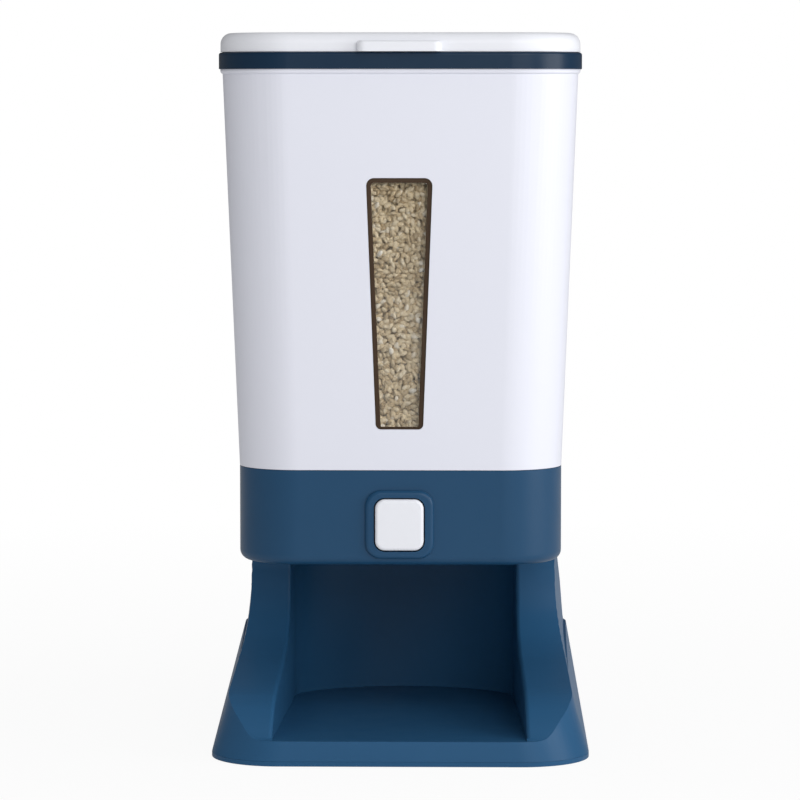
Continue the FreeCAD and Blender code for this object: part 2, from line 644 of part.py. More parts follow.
def make_pinion(side):
    """A twelve-tooth pinion pressed on the axle, one tooth straight up at rest."""
    base = PITCH_RADIUS * math.cos(PRESSURE_ANGLE)
    root = PITCH_RADIUS - GEAR_ROOT_DEPTH
    tip = PITCH_RADIUS + PINION_ADDENDUM
    at_pitch = (math.pi * GEAR_MODULE / 2 - TOOTH_SLACK) / (2 * PITCH_RADIUS)

    def half_angle(radius):
        return at_pitch + involute(PRESSURE_ANGLE) - involute(math.acos(base / radius))

    edges = []
    step = 2 * math.pi / GEAR_TEETH
    at_base = half_angle(base)
    flank = (base + tip) / 2
    for index in range(GEAR_TEETH):
        turn = index * step
        foot_in = polar(root, turn - at_base)
        base_in = polar(base, turn - at_base)
        tip_in = polar(tip, turn - half_angle(tip))
        tip_out = polar(tip, turn + half_angle(tip))
        base_out = polar(base, turn + at_base)
        foot_out = polar(root, turn + at_base)
        next_foot = polar(root, turn + step - at_base)
        edges += [
            Part.makeLine(foot_in, base_in),
            Part.Arc(base_in, polar(flank, turn - half_angle(flank)), tip_in).toShape(),
            Part.Arc(tip_in, polar(tip, turn), tip_out).toShape(),
            Part.Arc(tip_out, polar(flank, turn + half_angle(flank)), base_out).toShape(),
            Part.makeLine(base_out, foot_out),
            Part.Arc(foot_out, polar(root, turn + step / 2), next_foot).toShape(),
        ]
    gear = Part.Face(Part.Wire(edges)).extrude(V(GEAR_WIDTH, 0, 0))
    gear.translate(V(side * GEAR_X - GEAR_WIDTH / 2, DRUM_Y, DRUM_Z))
    return gear.cut(rod_x(AXLE_RADIUS, -80.0, 80.0, DRUM_Y, DRUM_Z))


def make_axle_clips():
    """A push-on clip at each end of the axle."""
    near = GEAR_X + GEAR_WIDTH / 2 + 0.3
    clip = rod_x(4.5, near, near + 0.8, DRUM_Y, DRUM_Z).cut(rod_x(AXLE_RADIUS, 0, 80.0, DRUM_Y, DRUM_Z))
    return Part.Compound(both_sides(clip))


def make_axle_bushes():
    """A flanged bush in each end wall of the chamber."""
    inner_end = DRUM_HALF_LENGTH + 1.0
    sleeve = rod_x(BUSH_RADIUS, inner_end, CHAMBER_HALF + 1.4, DRUM_Y, DRUM_Z)
    flange = rod_x(BUSH_RADIUS + 1.3, CHAMBER_HALF + 0.05, CHAMBER_HALF + 1.4, DRUM_Y, DRUM_Z)
    bush = fuse([sleeve, flange]).cut(rod_x(AXLE_RADIUS + 0.06, 0, 80.0, DRUM_Y, DRUM_Z))
    return Part.Compound(both_sides(bush))


def level_rectangle(half_x, y0, y1, z, inset):
    """A rectangle in a level plane, drawn in by the given amount."""
    x, near, far = half_x - inset, y0 + inset, y1 - inset
    return Part.makePolygon([V(-x, near, z), V(x, near, z), V(x, far, z), V(-x, far, z), V(-x, near, z)])


def chute_block(inset, over):
    """The spout's funnel shape, run on past both ends by the given amount."""
    low = level_rectangle(*CHUTE_LOW, CHUTE_BOTTOM - over, inset)
    high = level_rectangle(*CHUTE_HIGH, CHUTE_TOP + over, inset)
    return Part.makeLoft([low, high], True, True)


def make_outlet_chute():
    """The spout: a funnel from behind the drum to the roof of the bay."""
    return chute_block(0.0, 0.0).cut(chute_block(CHUTE_WALL, 0.01))


# ---------------------------------------------------------------- bin, hopper and window
def body_plan(z):
    """The bin's outer plan at a height."""
    return between(BAND_PLAN, BODY_TOP_PLAN, (z - BAND_TOP) / (BODY_TOP - BAND_TOP))


def bin_block(inset, z0, z1):
    """A slice of the tapered bin, drawn in by the given wall."""
    return tapered(body_plan(z0), z0, body_plan(z1), z1, inset)


def window_block(inset, depth0, depth1):
    """The tapered window outline as a block through the leaning front wall."""
    front = -BAND_PLAN[1] / 2
    low = WINDOW_BOTTOM + inset
    high = WINDOW_TOP - inset
    half_low = WINDOW_HALF_BOTTOM - inset
    half_high = WINDOW_HALF_TOP - inset
    points = [(-half_low, low), (half_low, low), (half_high, high), (-half_high, high)]
    block = front_profile(points, front + depth0, front + depth1)
    middle = (low + high) / 2
    for radius, upper in ((WINDOW_RADIUS_LOW, False), (WINDOW_RADIUS_HIGH, True)):
        corners = [e for e in block.Edges if abs(e.tangentAt(e.FirstParameter).y) > 0.9
                   and (e.CenterOfMass.z > middle) == upper]
        block = block.makeFillet(max(radius - inset, 0.6), corners)
    run = (BODY_TOP_PLAN[1] - BAND_PLAN[1]) / 2
    lean = math.degrees(math.atan(run / (BODY_TOP - BAND_TOP)))
    block.rotate(V(0, front, BAND_TOP), V(1, 0, 0), lean)
    return block


def make_bin_body():
    """The white bin: a tapered shell with a lip, a spigot below and the window opening."""
    shoulder = BODY_BOTTOM + 3.0
    wall = bin_block(0.0, BODY_BOTTOM, BODY_TOP)
    lip = prism(MOUTH_PLAN, BODY_TOP, MOUTH_TOP)
    lip = lip.makeFillet(1.0, edges_at(lip, lambda p: p.z < BODY_TOP + 0.01))
    spigot = prism(BAND_PLAN, BODY_BOTTOM - 8.0, shoulder, SHELL_WALL + 0.2)
    hollow = bin_block(SHELL_WALL, shoulder, MOUTH_TOP + 1.0)
    passage = prism(BAND_PLAN, BODY_BOTTOM - 9.0, shoulder + 0.5, SHELL_WALL + 2.4)
    shell = fuse([wall, lip, spigot]).cut([hollow, passage])
    return shell.cut(window_block(0.0, -10.0, 10.0))


def make_window_seal():
    """The dark ring pressed into the window opening."""
    return window_block(PART_GAP, 0.7, SHELL_WALL).cut(window_block(SEAL_WIDTH, 0.0, 4.0))


def make_window_panel():
    """The clear panel: a flange behind the wall and a raised pane inside the ring."""
    pane = window_block(SEAL_WIDTH + 0.05, 1.2, SHELL_WALL + 1.0)
    flange = window_block(-4.0, SHELL_WALL + PART_GAP, SHELL_WALL + PART_GAP + 2.0)
    return fuse([pane, flange])


def slope_outline(low, high, rise_low, rise_high, grow, bottom):
    """A funnel in section: throat edges low and high, floors that climb away from them."""
    reach = BODY_TOP_PLAN[1] / 2 + 5.0
    top = RICE_TOP + 20.0
    skew_low = grow * math.hypot(1, rise_low)
    skew_high = grow * math.hypot(1, rise_high)
    return [
        (low - grow, bottom),
        (low - grow, THROAT_Z + rise_low * grow - skew_low),
        (-reach, THROAT_Z + rise_low * (low + reach) - skew_low),
        (-reach, top),
        (reach, top),
        (reach, THROAT_Z + rise_high * (reach - high) - skew_high),
        (high + grow, THROAT_Z + rise_high * grow - skew_high),
        (high + grow, bottom),
    ]


def hopper_space(grow, bottom):
    """The space above the sloped floor, down to the throat."""
    along = slope_outline(THROAT_FRONT, THROAT_BACK, FRONT_RISE, BACK_RISE, grow, bottom)
    across = slope_outline(-THROAT_HALF_X, THROAT_HALF_X, SIDE_RISE, SIDE_RISE, grow, bottom)
    reach = BODY_TOP_PLAN[1] / 2 + 5.0
    return side_profile(along, -reach, reach).common(front_profile(across, -reach, reach))


def make_hopper():
    """The sloped floor inside the bin that leads the rice to the throat."""
    bottom = CHAMBER_TOP + PART_GAP
    room = bin_block(SHELL_WALL + 0.2, BODY_BOTTOM + 3.2, RICE_TOP)
    lower_room = prism(BAND_PLAN, bottom, BODY_BOTTOM + 3.2, SHELL_WALL + 2.7)
    outer = hopper_space(HOPPER_WALL, bottom).common(room.fuse(lower_room))
    shell = outer.cut(hopper_space(0.0, bottom - 1.0))
    return shell.cut(window_block(-4.3, 0.0, SHELL_WALL + PART_GAP + 2.3))


def make_rice_fill():
    """The rice in the bin, level on top, down to the drum's pocket."""
    room = bin_block(SHELL_WALL + 2.5, BODY_BOTTOM - 8.0, RICE_TOP)
    return hopper_space(-0.2, CHAMBER_TOP + 0.3).common(room)


# ---------------------------------------------------------------- collar, lid and hinge
def hinge_rod(radius, x0, x1):
    """A round bar on the hinge axis."""
    return rod_x(radius, x0, x1, HINGE_Y, HINGE_Z)


def ear_spans():
    """The four stretches along X that belong to the collar's hinge ears."""
    near = LID_KNUCKLE / 2 + JOINT_GAP
    spans = []
    for centre in (-HINGE_X, HINGE_X):
        spans.append((centre - near - EAR_WIDTH, centre - near))
        spans.append((centre + near, centre + near + EAR_WIDTH))
    return spans


def make_collar():
    """The navy ring on the bin's mouth, with a skirt inside it and hinge ears at the back."""
    ring = prism(COLLAR_PLAN, MOUTH_TOP, COLLAR_TOP)
    ring = ring.makeFillet(1.4, edges_at(ring, lambda p: p.z > COLLAR_TOP - 0.01))
    skirt = prism(BODY_TOP_PLAN, MOUTH_TOP - 12.0, MOUTH_TOP + 1.0, SHELL_WALL + 0.8)
    mouth = prism(BODY_TOP_PLAN, MOUTH_TOP - 13.0, COLLAR_TOP + 1.0, COLLAR_MOUTH_INSET)
    back = COLLAR_PLAN[1] / 2
    ears = []
    for x0, x1 in ear_spans():
        ears.append(hinge_rod(HINGE_OUTER, x0, x1))
        ears.append(box(x0, x1, back - 4.0, HINGE_Y + HINGE_OUTER - 0.6, MOUTH_TOP + 1.0, HINGE_Z))
    collar = fuse([ring, skirt] + ears).cut(mouth)
    for centre in (-HINGE_X, HINGE_X):
        half = LID_KNUCKLE / 2 + JOINT_GAP
        collar = collar.cut(hinge_rod(HINGE_OUTER + 0.5, centre - half, centre + half))
        collar = collar.cut(hinge_rod(HINGE_PIN, centre - 30.0, centre + 30.0))
    return collar


def make_hinge_pins():
    """Two steel pins, each through two collar ears and the lid knuckle between them."""
    half = LID_KNUCKLE / 2 + JOINT_GAP + EAR_WIDTH
    return Part.Compound([hinge_rod(HINGE_PIN, c - half, c + half) for c in (-HINGE_X, HINGE_X)])


def make_lid():
    """The flip lid: a shallow tray with an inner rim, hinge knuckles and a thumb tab."""
    bottom = COLLAR_TOP + JOINT_GAP
    tray = prism(LID_PLAN, bottom, TOTAL_HEIGHT)
    tray = tray.makeFillet(LID_EDGE_RADIUS, edges_at(tray, lambda p: p.z > TOTAL_HEIGHT - 0.01))
    tray = tray.cut(prism(LID_PLAN, bottom - 1.0, LID_CEILING, SHELL_WALL))
    rim = prism(BODY_TOP_PLAN, COLLAR_TOP - 5.0, LID_CEILING + 0.5, LID_RIM_INSET)
    rim = rim.cut(prism(BODY_TOP_PLAN, COLLAR_TOP - 6.0, LID_CEILING, LID_RIM_INSET + 2.0))
    front = -LID_PLAN[1] / 2
    tab = box(-TAB_HALF, TAB_HALF, TAB_FRONT, front + 2.0, bottom + 0.1, bottom + TAB_HEIGHT)
    upright = edges_at(tab, lambda p: p.y < TAB_FRONT + 0.01 and abs(abs(p.x) - TAB_HALF) < 0.01)
    tab = tab.makeFillet(4.0, upright)
    tab = tab.makeFillet(1.6, edges_at(tab, lambda p: p.z > bottom + TAB_HEIGHT - 0.01 and p.y < front))
    knuckles = [hinge_rod(HINGE_OUTER, c - LID_KNUCKLE / 2, c + LID_KNUCKLE / 2)
                for c in (-HINGE_X, HINGE_X)]
    lid = fuse([tray, rim, tab] + knuckles)
    for x0, x1 in ear_spans():
        lid = lid.cut(hinge_rod(HINGE_OUTER + 0.5, x0 - JOINT_GAP, x1 + JOINT_GAP))
        lid = lid.cut(box(x0 - JOINT_GAP, x1 + JOINT_GAP, HINGE_Y - HINGE_OUTER, HINGE_Y + 10.0,
                          bottom - 1.0, HINGE_Z))
    for centre in (-HINGE_X, HINGE_X):
        lid = lid.cut(hinge_rod(HINGE_BORE, centre - 30.0, centre + 30.0))
    return lid


def make_lid_seal():
    """The silicone ring around the lid's inner rim."""
    outer = prism(BODY_TOP_PLAN, COLLAR_TOP - 4.0, COLLAR_TOP - 0.4, COLLAR_MOUTH_INSET + 0.4)
    return outer.cut(prism(BODY_TOP_PLAN, COLLAR_TOP - 5.0, COLLAR_TOP, LID_RIM_INSET - 0.02))


def main():
    os.makedirs(PARTS_DIR, exist_ok=True)
    save("stand", make_stand())
    save("base_plate", make_base_plate())
    save("base_screws", make_base_screws())
    save("rubber_feet", make_rubber_feet())
    save("housing_screws", make_housing_screws())
    save("dispensing_housing", make_housing())
    save("push_button", make_push_button())
    save("drive_yoke", make_drive_yoke())
    save("yoke_screws", make_yoke_screws())
    for name, side in (("left", -1), ("right", 1)):
        save(name + "_return_spring", make_return_spring(side))
        save(name + "_pinion", make_pinion(side))
    save("metering_chamber", make_metering_chamber())
    save("chamber_screws", make_chamber_screws())
    save("metering_drum", make_metering_drum())
    save("drum_axle", make_drum_axle())
    save("axle_clips", make_axle_clips())
    save("axle_bushes", make_axle_bushes())
    save("outlet_chute", make_outlet_chute())
    save("bin_body", make_bin_body())
    save("window_seal", make_window_seal())
    save("window_panel", make_window_panel())
    save("hopper", make_hopper())
    save("rice_fill", make_rice_fill())
    save("collar", make_collar())
    save("hinge_pins", make_hinge_pins())
    save("lid", make_lid())
    save("lid_seal", make_lid_seal())


main()
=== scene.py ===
"""Rice dispenser: a tapered white bin with a sight window, a flip lid and a press-button
outlet, on a flared navy stand whose open bay takes a cup. Metres, +Z up, front towards -Y."""
import bpy
import bmesh
import math
import random
from mathutils import Matrix, Vector


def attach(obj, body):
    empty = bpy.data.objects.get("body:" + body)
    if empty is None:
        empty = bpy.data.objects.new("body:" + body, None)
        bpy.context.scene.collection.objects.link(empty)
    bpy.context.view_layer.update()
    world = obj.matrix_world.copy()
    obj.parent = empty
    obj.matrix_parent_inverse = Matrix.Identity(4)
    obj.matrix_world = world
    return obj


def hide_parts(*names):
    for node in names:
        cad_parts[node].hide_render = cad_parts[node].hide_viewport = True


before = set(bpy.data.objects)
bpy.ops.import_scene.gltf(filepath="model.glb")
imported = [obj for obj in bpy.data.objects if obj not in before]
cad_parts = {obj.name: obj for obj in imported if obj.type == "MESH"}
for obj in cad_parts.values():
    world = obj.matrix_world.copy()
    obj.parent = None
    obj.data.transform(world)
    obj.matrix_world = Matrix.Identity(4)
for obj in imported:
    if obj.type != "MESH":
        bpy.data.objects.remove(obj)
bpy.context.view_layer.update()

# ------------------------------------------------------------------ feet and base screws
# Four black rubber pads are pressed into wells near the corners of the base plate, and four
# plated steel screws hold that plate under the stand.

def surface_group(name, inputs, outputs):
    """An empty shader node group with the named inputs and outputs."""
    group = bpy.data.node_groups.new(name, "ShaderNodeTree")
    for label, kind, value in inputs:
        socket = group.interface.new_socket(label, in_out="INPUT", socket_type=kind)
        socket.default_value = value
    for label, kind in outputs:
        group.interface.new_socket(label, in_out="OUTPUT", socket_type=kind)
    return group


def node(tree, kind, **settings):
    """A new shader node; its settings are node properties, and its sockets are set later."""
    made = tree.nodes.new(kind)
    for key, value in settings.items():
        setattr(made, key, value)
    return made


def make_moulded_group():
    """Moulded plastic: slow drifts of tone, a fine spark-eroded grain and hand-polished patches."""
    tree = surface_group(
        "moulded plastic",
        [("Colour", "NodeSocketColor", (0.5, 0.5, 0.5, 1)),
         ("Drift Colour", "NodeSocketColor", (0.4, 0.4, 0.4, 1)),
         ("Drift", "NodeSocketFloat", 0.3),
         ("Roughness", "NodeSocketFloat", 0.4),
         ("Polish", "NodeSocketFloat", 0.1),
         ("Grain Scale", "NodeSocketFloat", 1400.0)],
        [("Colour", "NodeSocketColor"), ("Roughness", "NodeSocketFloat"), ("Height", "NodeSocketFloat")])
    enter = node(tree, "NodeGroupInput")
    leave = node(tree, "NodeGroupOutput")
    place = node(tree, "ShaderNodeTexCoord")
    slow = node(tree, "ShaderNodeTexNoise")
    slow.inputs["Scale"].default_value = 14.0
    slow.inputs["Detail"].default_value = 3.0
    share = node(tree, "ShaderNodeMath", operation="MULTIPLY")
    blend = node(tree, "ShaderNodeMix", data_type="RGBA")
    patches = node(tree, "ShaderNodeTexNoise")
    patches.inputs["Scale"].default_value = 46.0
    patches.inputs["Detail"].default_value = 4.0
    centred = node(tree, "ShaderNodeMath", operation="SUBTRACT")
    centred.inputs[1].default_value = 0.5
    spread = node(tree, "ShaderNodeMath", operation="MULTIPLY")
    total = node(tree, "ShaderNodeMath", operation="ADD")
    grain = node(tree, "ShaderNodeTexNoise")
    grain.inputs["Detail"].default_value = 2.0
    for noise in (slow, patches, grain):
        tree.links.new(place.outputs["Object"], noise.inputs["Vector"])
    tree.links.new(enter.outputs["Grain Scale"], grain.inputs["Scale"])
    tree.links.new(slow.outputs[0], share.inputs[0])
    tree.links.new(enter.outputs["Drift"], share.inputs[1])
    tree.links.new(share.outputs[0], blend.inputs["Factor"])
    tree.links.new(enter.outputs["Colour"], blend.inputs["A"])
    tree.links.new(enter.outputs["Drift Colour"], blend.inputs["B"])
    tree.links.new(blend.outputs["Result"], leave.inputs["Colour"])
    tree.links.new(patches.outputs[0], centred.inputs[0])
    tree.links.new(centred.outputs[0], spread.inputs[0])
    tree.links.new(enter.outputs["Polish"], spread.inputs[1])
    tree.links.new(spread.outputs[0], total.inputs[0])
    tree.links.new(enter.outputs["Roughness"], total.inputs[1])
    tree.links.new(total.outputs[0], leave.inputs["Roughness"])
    tree.links.new(grain.outputs[0], leave.inputs["Height"])
    return tree


moulded_plastic = make_moulded_group()


def moulded_material(name, colour, drift_colour, roughness, grain_depth, grain_scale=1400.0, specular=0.5):
    """A Principled material whose colour, roughness and bump come from the moulded group."""
    material = bpy.data.materials.new(name)
    material.use_nodes = True
    tree = material.node_tree
    shader = tree.nodes["Principled BSDF"]
    skin = node(tree, "ShaderNodeGroup", node_tree=moulded_plastic)
    skin.inputs["Colour"].default_value = (*colour, 1)
    skin.inputs["Drift Colour"].default_value = (*drift_colour, 1)
    skin.inputs["Drift"].default_value = 0.5
    skin.inputs["Roughness"].default_value = roughness
    skin.inputs["Polish"].default_value = 0.12
    skin.inputs["Grain Scale"].default_value = grain_scale
    bump = node(tree, "ShaderNodeBump")
    bump.inputs["Strength"].default_value = 0.35
    bump.inputs["Distance"].default_value = grain_depth
    tree.links.new(skin.outputs["Colour"], shader.inputs["Base Color"])
    tree.links.new(skin.outputs["Roughness"], shader.inputs["Roughness"])
    tree.links.new(skin.outputs["Height"], bump.inputs["Height"])
    tree.links.new(bump.outputs["Normal"], shader.inputs["Normal"])
    shader.inputs["Specular IOR Level"].default_value = specular
    return material


navy_plastic = moulded_material("navy plastic", (0.022, 0.096, 0.208), (0.028, 0.110, 0.234), 0.38,
                                0.00012, specular=0.18)
black_rubber = moulded_material("black rubber", (0.022, 0.021, 0.020), (0.040, 0.038, 0.036), 0.78,
                                0.0003, grain_scale=900.0)
zinc_steel = moulded_material("zinc plated steel", (0.60, 0.60, 0.62), (0.42, 0.43, 0.45), 0.34,
                              0.00006, grain_scale=2600.0)
zinc_steel.node_tree.nodes["Principled BSDF"].inputs["Metallic"].default_value = 1.0


def dress(piece, material):
    """Gives a piece this one material."""
    piece.data.materials.clear()
    piece.data.materials.append(material)


dress(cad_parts["rubber_feet"], black_rubber)
dress(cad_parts["base_screws"], zinc_steel)

# ------------------------------------------------------------------ stand
# One navy moulding, a shell three millimetres thick: a low flared skirt with a front lip, two
# arms that sweep up to the column, and an open bay whose back wall bows towards the rear.
base_plan = (0.2094, 0.264, 0.038, 0.0)
ledge_plan = (0.1864, 0.249, 0.038, 0.035)
skirt_bottom = 0.0031
lip_top = 0.014
ledge_top = 0.051
stand_top = 0.1098
stand_wall = 0.003
lip_line = [(-0.1284, 0.01405), (-0.126, 0.0151), (-0.1233, 0.0176), (-0.1194, 0.0215), (-0.113, 0.0265),
            (-0.104, 0.0318), (-0.090, 0.0366)]
rim_line = lip_line + [(-0.060, 0.0407), (-0.030, 0.0438), (0.010, 0.0473), (0.064, 0.051)]
arm_line = lip_line + [(-0.070, 0.0406), (-0.050, 0.0444), (-0.032, 0.0486), (-0.017, 0.0555),
                       (-0.007, 0.066), (-0.0015, 0.079), (0.001, 0.094)]
arm_plans = [(0.0031, 0.2054, 0.260, 0.036, 0.0), (0.027, 0.1972, 0.2534, 0.035, 0.012),
             (0.039, 0.1918, 0.2494, 0.034, 0.016), (0.051, 0.185, 0.2458, 0.033, 0.025),
             (0.062, 0.1802, 0.2438, 0.0325, 0.040), (0.076, 0.1764, 0.2426, 0.032, 0.049),
             (0.092, 0.175, 0.2421, 0.032, 0.036), (0.1098, 0.1746, 0.242, 0.032, 0.016)]
beyond_front = -0.152
beyond_rear = 0.16
well_above = 0.16
bay_half_line = [(0.0707, beyond_front, 1, 0), (0.0641, 0.0278, 1, 0), (0.06125, 0.0392, 0.897, 0.441),
                 (0.054, 0.0485, 0.64, 0.769)]
bay_back = 0.068
bay_half_width = 0.06512
bay_draw_in = 0.0367


def alone(piece):
    """Selects this piece and nothing else."""
    if bpy.context.object and bpy.context.object.mode == "EDIT":
        bpy.ops.object.mode_set(mode="OBJECT")
    bpy.ops.object.select_all(action="DESELECT")
    piece.select_set(True)
    bpy.context.view_layer.objects.active = piece


def pick(piece, kind, test):
    """In edit mode, selects the edges or corners whose middle and direction pass the test."""
    alone(piece)
    bpy.ops.object.mode_set(mode="EDIT")
    bpy.ops.mesh.select_mode(type=kind)
    bpy.ops.mesh.select_all(action="DESELECT")
    mesh = bmesh.from_edit_mesh(piece.data)
    if kind == "EDGE":
        for edge in mesh.edges:
            a, b = edge.verts[0].co, edge.verts[1].co
            if test((a + b) / 2, (b - a).normalized()):
                edge.select_set(True)
    else:
        for corner in mesh.verts:
            if test(corner.co, corner.normal):
                corner.select_set(True)
    bmesh.update_edit_mesh(piece.data)


def rounded_block(name, plan, low, high, inset=0.0):
    """A straight block with four rounded upright edges."""
    width, depth, radius = plan
    bpy.ops.mesh.primitive_cube_add(size=1, location=(0, 0, (low + high) / 2))
    block = bpy.context.object
    block.name = name
    block.scale = (width - 2 * inset, depth - 2 * inset, high - low)
    alone(block)
    bpy.ops.object.transform_apply(location=True, rotation=False, scale=True)
    pick(block, "EDGE", lambda middle, along: abs(along.z) > 0.9)
    bpy.ops.mesh.bevel(offset=radius - inset, segments=20, affect="EDGES")
    bpy.ops.object.mode_set(mode="OBJECT")
    return block


def rounded_outline(plan, inset=0.0, steps=16):
    """Points round a rectangle with rounded corners, whose sides may spread towards the rear."""
    width, depth, radius, *side_slope = plan
    slope = side_slope[0] if side_slope else 0.0
    lean = math.hypot(1, slope)
    turn = radius - inset
    points = []
    for sx, sy in ((1, 1), (-1, 1), (-1, -1), (1, -1)):
        centre_y = sy * (depth / 2 - radius)
        centre_x = width / 2 - inset * lean + slope * centre_y - turn * lean
        first = -math.atan(slope)
        bends = [first + (sy * math.pi / 2 - first) * i / steps for i in range(steps + 1)]
        corner = [(sx * (centre_x + turn * math.cos(b)), centre_y + turn * math.sin(b)) for b in bends]
        points += corner if sx == sy else corner[::-1]
    return points


def drawn_up(name, rings):
    """A closed block through level outlines, each bridged to the one above it."""
    count = len(rings[0][1])
    corners = [(x, y, level) for level, outline in rings for x, y in outline]
    edges = [(k * count + i, k * count + (i + 1) % count) for k in range(len(rings)) for i in range(count)]
    drawn = bpy.data.meshes.new(name)
    drawn.from_pydata(corners, edges, [])
    block = bpy.data.objects.new(name, drawn)
    bpy.context.scene.collection.objects.link(block)
    levels = [level for level, outline in rings]
    for low, high in zip(levels, levels[1:]):
        pick(block, "EDGE", lambda middle, along: abs(along.z) < 0.01 and
             min(abs(middle.z - low), abs(middle.z - high)) < 0.00001)
        bpy.ops.mesh.bridge_edge_loops()
    for level in (levels[0], levels[-1]):
        pick(block, "EDGE", lambda middle, along: abs(along.z) < 0.01 and abs(middle.z - level) < 0.00001)
        bpy.ops.mesh.edge_face_add()
    bpy.ops.mesh.select_all(action="SELECT")
    bpy.ops.mesh.normals_make_consistent(inside=False)
    bpy.ops.object.mode_set(mode="OBJECT")
    return block


def carve(piece, cutter, how="DIFFERENCE", folded=False):
    """Cuts the cutter from the piece, or joins it on, and removes the cutter."""
    alone(piece)
    bpy.ops.object.modifier_add(type="BOOLEAN")
    boolean = piece.modifiers["Boolean"]
    boolean.operation = how
    boolean.solver = "EXACT"
    boolean.use_self = folded
    boolean.object = cutter
    bpy.ops.object.modifier_apply(modifier="Boolean")
    bpy.data.objects.remove(cutter)


def soften(piece, radius, steps=3, angle=32):
    """Rounds the moulded edges of a finished piece and shades it smooth up to that angle."""
    alone(piece)
    bpy.ops.object.mode_set(mode="EDIT")
    bpy.ops.mesh.select_all(action="SELECT")
    bpy.ops.mesh.remove_doubles(threshold=0.00002)
    bpy.ops.mesh.dissolve_limited(angle_limit=math.radians(0.6), delimit={"NORMAL"})
    bpy.ops.object.mode_set(mode="OBJECT")
    bpy.ops.object.modifier_add(type="BEVEL")
    bevel = piece.modifiers["Bevel"]
    bevel.width = radius
    bevel.segments = steps
    bevel.limit_method = "ANGLE"
    bevel.angle_limit = math.radians(angle)
    bevel.miter_outer = "MITER_ARC"
    bpy.ops.object.modifier_apply(modifier="Bevel")
    bpy.ops.object.shade_smooth_by_angle(angle=math.radians(angle))
    bpy.ops.object.modifier_add(type="WEIGHTED_NORMAL")
    piece.modifiers["WeightedNormal"].keep_sharp = True
    bpy.ops.object.modifier_apply(modifier="WeightedNormal")


def arc_through(start, middle, end, steps):
    """Points along the circular arc through three points, in the YZ plane."""
    (ax, ay), (bx, by), (cx, cy) = start, middle, end
    d = 2 * (ax * (by - cy) + bx * (cy - ay) + cx * (ay - by))
    a2, b2, c2 = ax * ax + ay * ay, bx * bx + by * by, cx * cx + cy * cy
    centre = Vector(((a2 * (by - cy) + b2 * (cy - ay) + c2 * (ay - by)) / d,
                     (a2 * (cx - bx) + b2 * (ax - cx) + c2 * (bx - ax)) / d))
    first = Vector(start) - centre
    last = Vector(end) - centre
    sweep = -first.angle_signed(last)
    return [centre + Matrix.Rotation(sweep * i / steps, 2) @ first for i in range(steps + 1)]


def outline_cutter(name, outline, axis, low, high):
    """A prism: a closed outline drawn flat, filled and extruded along X or Z."""
    flat = bpy.data.meshes.new(name)
    place = {"X": lambda p: (low, p[0], p[1]), "Z": lambda p: (p[0], p[1], low)}
    flat.from_pydata([place[axis](p) for p in outline], [], [list(range(len(outline)))])
    cutter = bpy.data.objects.new(name, flat)
    bpy.context.scene.collection.objects.link(cutter)
    alone(cutter)
    bpy.ops.object.mode_set(mode="EDIT")
    bpy.ops.mesh.select_all(action="SELECT")
    travel = {"X": (high - low, 0, 0), "Z": (0, 0, high - low)}
    bpy.ops.mesh.extrude_region_move(TRANSFORM_OT_translate={"value": travel[axis]})
    bpy.ops.mesh.select_all(action="SELECT")
    bpy.ops.mesh.normals_make_consistent(inside=False)
    bpy.ops.object.mode_set(mode="OBJECT")
    return cutter


def smooth_line(points, steps=5):
    """Points along a smooth line that passes through all the given ones."""
    spots = [Vector(p) for p in points]
    spots = [2 * spots[0] - spots[1]] + spots + [2 * spots[-1] - spots[-2]]
    line = []
    for before, start, end, after in zip(spots, spots[1:], spots[2:], spots[3:]):
        for i in range(steps):
            t = i / steps
            line.append(0.5 * (2 * start + (end - before) * t
                               + (2 * before - 5 * start + 4 * end - after) * t ** 2
                               + (3 * start - before - 3 * end + after) * t ** 3))
    return line + [spots[-2]]


def over_the_skirt(drop):
    """Everything above the skirt's rim, which climbs from the lip back to the ledge."""
    line = [(p.x + drop, p.y - drop - 0.0001) for p in smooth_line(rim_line)]
    line += [(beyond_rear, line[-1][1]), (beyond_rear, well_above)]
    line += [(beyond_front, well_above), (beyond_front, line[0][1])]
    return outline_cutter("over the skirt", line, "X", -0.2, 0.2)


def over_the_arms(drop):
    """Everything in front of the arms, which sweep from the lip up to the column."""
    line = [(p.x + drop, p.y - drop) for p in smooth_line(arm_line)]
    line += [(line[-1][0], well_above), (beyond_front, well_above), (beyond_front, line[0][1] - 0.0006)]
    return outline_cutter("over the arms", line, "X", -0.2, 0.2)


def cup_bay(grow):
    """The open bay: a level floor, sides that draw in towards the rear and a bowed back wall."""
    right = [(x + grow * across, y + grow * back) for x, y, across, back in bay_half_line]
    left = [(-x, y) for x, y in right]
    outline = [right[0]] + [tuple(p) for p in arc_through(right[1], right[2], right[3], 8)]
    outline += [tuple(p) for p in arc_through(right[3], (0, bay_back + grow), left[3], 24)[1:-1]]
    outline += [tuple(p) for p in arc_through(left[3], left[2], left[1], 8)] + [left[0]]
    return outline_cutter("cup bay", outline, "Z", lip_top - grow, 0.13)


def arm_block(inset, high):
    """The arms and column in one, drawn up ring by ring so that the flanks flow out below."""
    rings = smooth_line([Vector(plan) for plan in arm_plans], 3)
    outlines = [(ring[0], rounded_outline(ring[1:], inset)) for ring in rings]
    return drawn_up("arms", outlines[:-1] + [(high, outlines[-1][1])])


